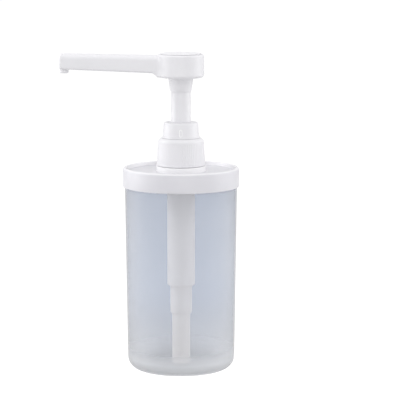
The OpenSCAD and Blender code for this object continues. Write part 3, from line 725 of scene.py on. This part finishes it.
# Ribbed closure
def make_closure():
    side_z = CLOSURE_Z1 - CLOSURE_ROUND[1]
    rib_z0 = CLOSURE_Z0 + CLOSURE_LIP_H + THIN_EDGE
    rib_z1 = side_z - SMALL_EDGE
    hair = 0.001

    def ribbed(r, z, angle):
        """Lets the grooves between the ribs into the side, fading out at its two bands."""
        if r < CLOSURE_TOP_R - 10 * hair or not rib_z0 < z < rib_z1:
            return r
        depth = min(1, (z - rib_z0) / RIB_FADE, (rib_z1 - z) / RIB_FADE)
        groove = 0.5 - 0.5 * math.cos(RIB_COUNT * angle)
        return r - RIB_DEPTH * groove * depth

    lip_z = CLOSURE_Z0 + CLOSURE_LIP_H
    slope = [(CLOSURE_LIP_R, CLOSURE_Z0, CLOSURE_LIP_EDGE), (CLOSURE_LIP_R, lip_z, CLOSURE_LIP_STEP)]
    plain = rib_z1 - rib_z0 - 2 * RIB_FADE
    heights = [rib_z0 + hair, rib_z0 + RIB_FADE]
    heights += [rib_z0 + RIB_FADE + plain * k / RIB_ROWS for k in range(1, RIB_ROWS + 1)]
    heights += [rib_z1 - hair]
    for z in heights:
        share = (z - CLOSURE_Z0) / (side_z - CLOSURE_Z0)
        slope.append((CLOSURE_R + (CLOSURE_TOP_R - CLOSURE_R) * share, z))
    width, height = CLOSURE_ROUND
    arc_steps = 10
    arc = []
    for k in range(arc_steps + 1):
        angle = math.pi / 2 * k / arc_steps
        arc.append((CLOSURE_TOP_R - width + width * math.cos(angle), side_z + height * math.sin(angle)))
    inside = [
        (CLOSURE_HOLE, CLOSURE_Z1, THIN_EDGE), (CLOSURE_HOLE, CLOSURE_CEILING),
        (CLOSURE_BORE, CLOSURE_CEILING), (CLOSURE_BORE, CLOSURE_Z0, THIN_EDGE)]
    mesh = bmesh.new()
    turned(mesh, slope + arc + inside, segments=RIB_COUNT * RIB_STEPS, steps=5, shape=ribbed)
    inner_z = NECK_THREAD_Z - sum(NECK_THREAD_W) / 2 - THREAD_GAP
    ridge(mesh, inner_z, NECK_PITCH, 0, 1, CLOSURE_BORE + THREAD_SINK, NECK_R + THREAD_GAP, NECK_THREAD_W)
    dress(finished("closure_ribbed", mesh), "closure", "white_plastic", "pump_closure")


# Guide collar
def collar_side(z):
    """Radius of the collar's tapered side at a height."""
    return COLLAR_R + (COLLAR_TOP_R - COLLAR_R) * (z - COLLAR_Z0) / (COLLAR_Z1 - COLLAR_Z0)


def index_mark(mesh, z0, turn_steps=16):
    """Raised line round an upright oval on the collar's front."""
    shoulder = 0.4 * INDEX_DEPTH
    section = [
        (-0.5, -INDEX_SINK), (-0.5, shoulder), (-0.25, INDEX_DEPTH),
        (0.25, INDEX_DEPTH), (0.5, shoulder), (0.5, -INDEX_SINK)]
    turn_r = (INDEX_W - INDEX_LINE) / 2
    rings = []
    for side in (1, -1):
        centre = z0 + INDEX_H / 2 + side * (INDEX_H - INDEX_W) / 2
        for k in range(turn_steps + 1):
            angle = math.pi * (k / turn_steps + (side < 0))
            ring = []
            for across, out in section:
                reach = turn_r + across * INDEX_LINE
                height = centre + reach * math.sin(angle)
                ring.append(mesh.verts.new((reach * math.cos(angle), -collar_side(height) - out, height)))
            rings.append(ring)
    skin(mesh, zip(rings, rings[1:] + rings[:1]))


def make_collar():
    grip_r = BARREL_R + FIT_GAP
    grip_z = BARREL_Z1 + FLAT_GAP
    lip_r = COLLAR_R + COLLAR_LIP_W
    lip_z = COLLAR_Z0 + COLLAR_LIP_H
    foot_r = lip_r + COLLAR_FOOT
    seal_z = SLEEVE_Z0 + SEAL_H
    mesh = bmesh.new()
    turned(mesh, [
        (grip_r, COLLAR_Z0), (foot_r, COLLAR_Z0), (foot_r, COLLAR_Z0 + COLLAR_FOOT_H[0]),
        (lip_r, COLLAR_Z0 + COLLAR_FOOT_H[1], COLLAR_FOOT),
        (lip_r, lip_z, COLLAR_LIP_ROUND), (COLLAR_R, lip_z),
        (COLLAR_TOP_R, COLLAR_Z1, COLLAR_ROUND), (SLEEVE_BORE, COLLAR_Z1, COLLAR_BORE_ROUND),
        (SLEEVE_BORE, seal_z), (SEAL_R, seal_z), (SEAL_R, SLEEVE_Z0), (SLEEVE_R, SLEEVE_Z0, THIN_EDGE),
        (SLEEVE_R, grip_z), (grip_r, grip_z)])
    index_mark(mesh, lip_z)
    collar = finished("guide_collar_shell", mesh)
    dress(collar, "pump", "white_plastic", "guide_collar")
    # The raised index mark takes the lighter copy of the white plastic: a painted highlight
    collar.data.materials.append(WHITE_PAINTED_LIGHT)
    for face in collar.data.polygons:
        reach = math.hypot(face.center.x, face.center.y) / MM
        z = face.center.z / MM
        face.material_index = int(z > lip_z + NEAR and reach > collar_side(z) + NEAR)


# Stem
def make_stem():
    stop_r = SLEEVE_R - SMALL_EDGE
    stop_z1 = SLEEVE_Z0 - STEM_STOP_GAP
    stop_z0 = stop_z1 - STEM_STOP_H
    step_z = SOCKET_Z0 + STEM_STEP
    low, high = bottom("stem"), top("stem")
    dress(lathe("stem_rod", [
        (STEM_BORE, low), (STEM_R, low, THIN_EDGE), (STEM_R, stop_z0), (stop_r, stop_z0, THIN_EDGE),
        (stop_r, stop_z1, THIN_EDGE), (STEM_R, stop_z1), (STEM_R, step_z, STEM_STEP_EDGE),
        (SPIGOT_R, step_z), (SPIGOT_R, high, THIN_EDGE), (STEM_BORE, high)],
        segments=STEM_SEGMENTS), "plunger", "white_plastic", "stem")


# Head with its spout
def along_arm(root, tip, x):
    """Value between those at the spout's root and tip, at a distance from the pump's axis."""
    return root + (tip - root) * max(x - ARM_START, 0) / (SPOUT_REACH - ARM_START)


def arm_half_width(x):
    """Half the spout's width, with a rounded corner into the hub."""
    into = min(max(ARM_START - x, 0), ARM_FILLET_REACH)
    return along_arm(ARM_W_HUB, ARM_W_TIP, x) + ARM_FILLET - math.sqrt(ARM_FILLET ** 2 - into ** 2)


def arm_underside(x):
    """Height of the spout's underside, with a web that runs down to the hub's lower edge."""
    into = ARM_START + WEB_REACH - x
    web = (into + math.sqrt(into * into + 1)) / 2
    return max(along_arm(ARM_Z0_HUB, ARM_Z0_TIP, x) - web, HUB_Z0 + SMALL_EDGE)


def arm_ring(mesh, x, inset, corner_steps=8):
    half = arm_half_width(x) - inset
    low = arm_underside(x) + inset
    high = along_arm(ARM_Z1_HUB, ARM_Z1_TIP, x) - inset
    upper = max(ARM_ROUND - inset, SMALL_EDGE)
    lower = max(ARM_EDGE - inset, SMALL_EDGE)
    corners = [(half, low, lower), (half, high, upper), (-half, high, upper), (-half, low, lower)]
    return [mesh.verts.new((-x, y, z)) for y, z in rounded(corners, corner_steps)]


def make_arm(root_steps=20, arm_steps=24, tip_steps=8):
    reach = ARM_START - ARM_FILLET_REACH
    root_end = ARM_START + WEB_REACH + WEB_FADE
    length = SPOUT_REACH - TIP_ROUND - root_end
    stations = [(ARM_ROOT, 0)]
    stations += [(reach + (root_end - reach) * k / root_steps, 0) for k in range(root_steps + 1)]
    stations += [(root_end + length * k / arm_steps, 0) for k in range(1, arm_steps)]
    for k in range(tip_steps + 1):
        angle = math.pi / 2 * k / tip_steps
        x = SPOUT_REACH - TIP_ROUND * (1 - math.sin(angle))
        stations.append((x, TIP_ROUND * (1 - math.cos(angle))))
    mesh = bmesh.new()
    skin_with_ends(mesh, [arm_ring(mesh, x, inset) for x, inset in stations])
    return finished("arm", mesh)


def make_nozzle():
    mesh = bmesh.new()
    nozzle_z1 = NOZZLE_Z0 + NOZZLE_H
    turned(mesh, [
        (0, NOZZLE_Z0), (NOZZLE_R, NOZZLE_Z0, NOZZLE_ROUND), (NOZZLE_R, nozzle_z1), (0, nozzle_z1)],
        NOZZLE_SEGMENTS)
    bmesh.ops.translate(mesh, vec=(-NOZZLE_X, 0, 0), verts=mesh.verts)
    return finished("nozzle", mesh)


def make_head():
    walls = [(HUB_R, HUB_Z0 + HUB_ROUND + k) for k in range(1, HUB_ROWS)]
    arm = make_arm()
    head = lathe("head_spout", [
        (0, SOCKET_Z0), (SOCKET_R0, SOCKET_Z0, THIN_EDGE), (SOCKET_R1, HUB_Z0, SOCKET_ROOT_ROUND),
        (HUB_R, HUB_Z0, HUB_ROUND), *walls, (HUB_R, HUB_Z1, HUB_RIM_ROUND), (0, HUB_Z1)], steps=8)
    combined(head, "UNION", arm, make_nozzle())
    # Recess for the cap, with a ring-shaped cavity round the post below it
    recess_r = CAP_R + FIT_GAP
    above = HUB_Z1 + RECESS_PAST
    post_z = CAP_Z0 - SMALL_EDGE
    recess = lathe("recess", [
        (0, post_z), (POST_R, post_z), (POST_R, CAVITY_Z0), (LEDGE_R, CAVITY_Z0), (LEDGE_R, CAP_Z0),
        (recess_r, CAP_Z0), (recess_r, above), (0, above)])
    combined(head, "DIFFERENCE", recess)
    # Duct from the post to the spout, then the passages
    slope = Vector((-NOZZLE_X, 0, CHANNEL_Z1 - CHANNEL_Z0)) / NOZZLE_X
    start = Vector((0, 0, CHANNEL_Z0))
    tip = start + slope * SPOUT_REACH
    duct_start = start + slope * (POST_R - 1)
    duct_end = start + slope * (LEDGE_R + THIN_EDGE)
    combined(head, "UNION", rod("duct", CHANNEL_R + DUCT_WALL, duct_start, duct_end))
    stem_r = STEM_R + FIT_GAP
    spigot_r = SPIGOT_R + FIT_GAP
    bore_z0 = SOCKET_Z0 - CUT_PAST
    step_z = SOCKET_Z0 + SOCKET_STEP
    bore = lathe("bore", [
        (0, bore_z0), (stem_r, bore_z0), (stem_r, step_z), (spigot_r, step_z),
        (spigot_r, WELL_Z1), (0, WELL_Z1)], segments=STEM_SEGMENTS)
    channel = rod("channel", CHANNEL_R, start + slope * STEM_BORE, tip + slope * CUT_PAST)
    seat = rod("seat", PLUG_R, tip - slope * PLUG_DEPTH, tip + slope * 2 * CUT_PAST)
    outlet_z0 = NOZZLE_Z0 - CUT_PAST
    outlet = rod("outlet", NOZZLE_BORE, (-NOZZLE_X, 0, outlet_z0), (-NOZZLE_X, 0, CHANNEL_Z1))
    combined(head, "DIFFERENCE", bore, channel, seat, outlet)
    dress(head, "plunger", "white_plastic", "head")


def make_cap():
    lip_z = CAP_Z1 - CAP_LIP
    neck_r, groove_z = CAP_R - CAP_GROOVE[0], lip_z - CAP_GROOVE[1]
    under, lower, upper = CAP_EDGES
    dress(lathe("head_disc", [
        (0, CAP_Z0), (CAP_R, CAP_Z0), (CAP_R, groove_z, under), (neck_r, groove_z), (neck_r, lip_z),
        (CAP_R, lip_z, lower), (CAP_R, CAP_Z1, upper), (0, CAP_Z1)]),
        "plunger", "white_plastic", "head_cap")


# Pump cylinder, valve chamber and dip tube, which show through the bottle
def make_cylinder():
    barrel = lathe("barrel_tube", [
        (BARREL_BORE, BARREL_Z0), (BARREL_R, BARREL_Z0, SMALL_EDGE), (BARREL_R, BARREL_Z1, THIN_EDGE),
        (BARREL_BORE, BARREL_Z1, THIN_EDGE)])
    vent = rod("vent", VENT_R, (0, 0, VENT_Z), (BARREL_R + CUT_PAST, 0, VENT_Z))
    combined(barrel, "DIFFERENCE", vent)
    dress(barrel, "pump", "milky_plastic", "barrel")
    socket = TUBE_R + FIT_GAP
    disc_r = BARREL_BORE - FIT_GAP
    seat_r = CHAMBER_BORE - SMALL_EDGE
    seat_z = INLET_SEAT_Z + seat_r - INLET_HOLE
    dress(lathe("valve_housing", [
        (socket, CHAMBER_Z0), (CHAMBER_R, CHAMBER_Z0, CHAMBER_EDGES[0]),
        (CHAMBER_R, BARREL_Z0, CHAMBER_EDGES[1]), (disc_r, BARREL_Z0), (disc_r, CHAMBER_Z1),
        (CHAMBER_BORE, CHAMBER_Z1), (CHAMBER_BORE, seat_z), (seat_r, seat_z), (INLET_HOLE, INLET_SEAT_Z),
        (INLET_HOLE, WEB_Z), (socket, WEB_Z)]), "pump", "milky_plastic", "valve_chamber")
    low, high = bottom("dip_tube"), top("dip_tube")
    dress(lathe("suction_tube", [
        (TUBE_BORE, low, TUBE_EDGE), (TUBE_R, low, TUBE_EDGE), (TUBE_R, high, TUBE_EDGE),
        (TUBE_BORE, high, TUBE_EDGE)], steps=3), "pump", "milky_plastic", "dip_tube")


# Return spring
def make_spring(turn_steps=36, sides=12):
    rise = SPRING_Z1 - SPRING_Z0 - SPRING_WIRE
    pitch = (rise - 2 * SPRING_END_PITCH) / (SPRING_TURNS - 2)
    wire_r = SPRING_WIRE / 2
    mesh = bmesh.new()
    rings = []
    for i in range(SPRING_TURNS * turn_steps + 1):
        turn = i / turn_steps
        angle = 2 * math.pi * turn
        climb = SPRING_END_PITCH * min(turn, 1) + pitch * min(max(turn - 1, 0), SPRING_TURNS - 2)
        climb += SPRING_END_PITCH * max(turn - SPRING_TURNS + 1, 0)
        ring = []
        for k in range(sides):
            around = 2 * math.pi * k / sides
            reach = SPRING_R + wire_r * math.cos(around)
            height = SPRING_Z0 + wire_r * (1 + math.sin(around)) + climb
            ring.append(mesh.verts.new((reach * math.cos(angle), reach * math.sin(angle), height)))
        rings.append(ring)
    skin_with_ends(mesh, rings)
    spring = finished("spring_coil", mesh)
    dress(spring, "pump", "steel", "return_spring")
    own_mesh(spring)


make_bottle()
make_lid()
make_closure()
make_collar()
make_stem()
make_head()
make_cap()
make_cylinder()
make_spring()

# The other nodes keep their own meshes and take the slots' materials
for row in frame["record"]["subparts"]:
    for place in frame["nodes"][row["node"]].material_slots:
        place.material = SLOTS[row["material_slot"]]


# Floor, background and light
FLOOR_HALF = 12.0
FLOOR_BOUNCE = (0.62, 0.62, 0.62, 1)
FLOOR_SHADE = (0.22, 0.22, 0.22, 1)
FLOOR_GLOW = 0.9
FLOOR_ROUGH = 0.9
WORLD_FILL = 0.68


def seen_rays(nodes, links):
    """1 for rays that show the background: straight, mirrored or through glass."""
    path = nodes.new("ShaderNodeLightPath")
    total = path.outputs["Is Camera Ray"]
    for name in ("Is Glossy Ray", "Is Transmission Ray"):
        total = joined(nodes, links, total, path.outputs[name], "MAXIMUM")
    return total


def make_floor():
    """Floor that is seen white but for the object's shadow, and throws a plain bounce of light."""
    mesh = bmesh.new()
    bmesh.ops.create_grid(mesh, x_segments=4, y_segments=4, size=FLOOR_HALF)
    data = bpy.data.meshes.new("studio_floor")
    mesh.to_mesh(data)
    mesh.free()
    floor = bpy.data.objects.new("studio_floor", data)
    bpy.context.scene.collection.objects.link(floor)
    made, nodes, links, shader = material("floor_white")
    shader.inputs["Base Color"].default_value = FLOOR_BOUNCE
    shader.inputs["Roughness"].default_value = FLOOR_ROUGH
    shade_part = nodes.new("ShaderNodeBsdfDiffuse")
    shade_part.inputs["Color"].default_value = FLOOR_SHADE
    glow = nodes.new("ShaderNodeEmission")
    glow.inputs["Strength"].default_value = FLOOR_GLOW
    lit = nodes.new("ShaderNodeAddShader")
    links.new(shade_part.outputs["BSDF"], lit.inputs[0])
    links.new(glow.outputs["Emission"], lit.inputs[1])
    shown = mixed(nodes, links, seen_rays(nodes, links), shader.outputs["BSDF"], lit.outputs["Shader"])
    links.new(shown, nodes["Material Output"].inputs["Surface"])
    data.materials.append(made)


def make_world():
    """White to the eye, with a weaker fill of light."""
    world = bpy.data.worlds.new("studio")
    bpy.context.scene.world = world
    world.use_nodes = True
    nodes, links = world.node_tree.nodes, world.node_tree.links
    strength = ramp(nodes, links, seen_rays(nodes, links), WORLD_FILL, 1.0, start=0.0, end=1.0)
    nodes["Background"].inputs["Color"].default_value = (1, 1, 1, 1)
    links.new(strength, nodes["Background"].inputs["Strength"])


def soft_box(name, place, size, watts, target=(0, 0, 0.16)):
    data = bpy.data.lights.new(name, "AREA")
    data.shape = "RECTANGLE"
    data.size, data.size_y = size
    data.energy = watts
    lamp = bpy.data.objects.new(name, data)
    lamp.location = place
    lamp.visible_camera = False
    lamp.rotation_euler = (Vector(target) - Vector(place)).to_track_quat("-Z", "Y").to_euler()
    bpy.context.scene.collection.objects.link(lamp)


make_floor()
make_world()
soft_box("left_box", (-0.80, 0.12, 0.42), (0.7, 0.9), 4.4)
soft_box("right_box", (0.85, 0.12, 0.42), (0.7, 0.9), 3.3)
soft_box("top_box", (0.0, -0.10, 1.10), (0.6, 0.6), 1.6)
soft_box("key_box", (0.05, -0.85, 1.00), (0.9, 0.7), 2.5)
soft_box("front_box", (0.05, -1.25, 0.15), (0.8, 0.3), 2.3)

# Camera, at the photograph's place: far off and a little above the bottle
FRAME_PX = 400
FOCAL_PX = 2131.7
CAMERA_PLACE = (0.018, -2.0, 0.4506)
CAMERA_DIP = 8.221
camera = bpy.data.objects.new("camera", bpy.data.cameras.new("camera"))
camera.data.sensor_width = 36
camera.data.lens = camera.data.sensor_width * FOCAL_PX / FRAME_PX
camera.data.clip_end = 50
camera.location = CAMERA_PLACE
camera.rotation_euler = (math.radians(90 - CAMERA_DIP), 0, 0)
bpy.context.scene.collection.objects.link(camera)
bpy.context.scene.camera = camera
bpy.context.scene.view_settings.view_transform = "Standard"
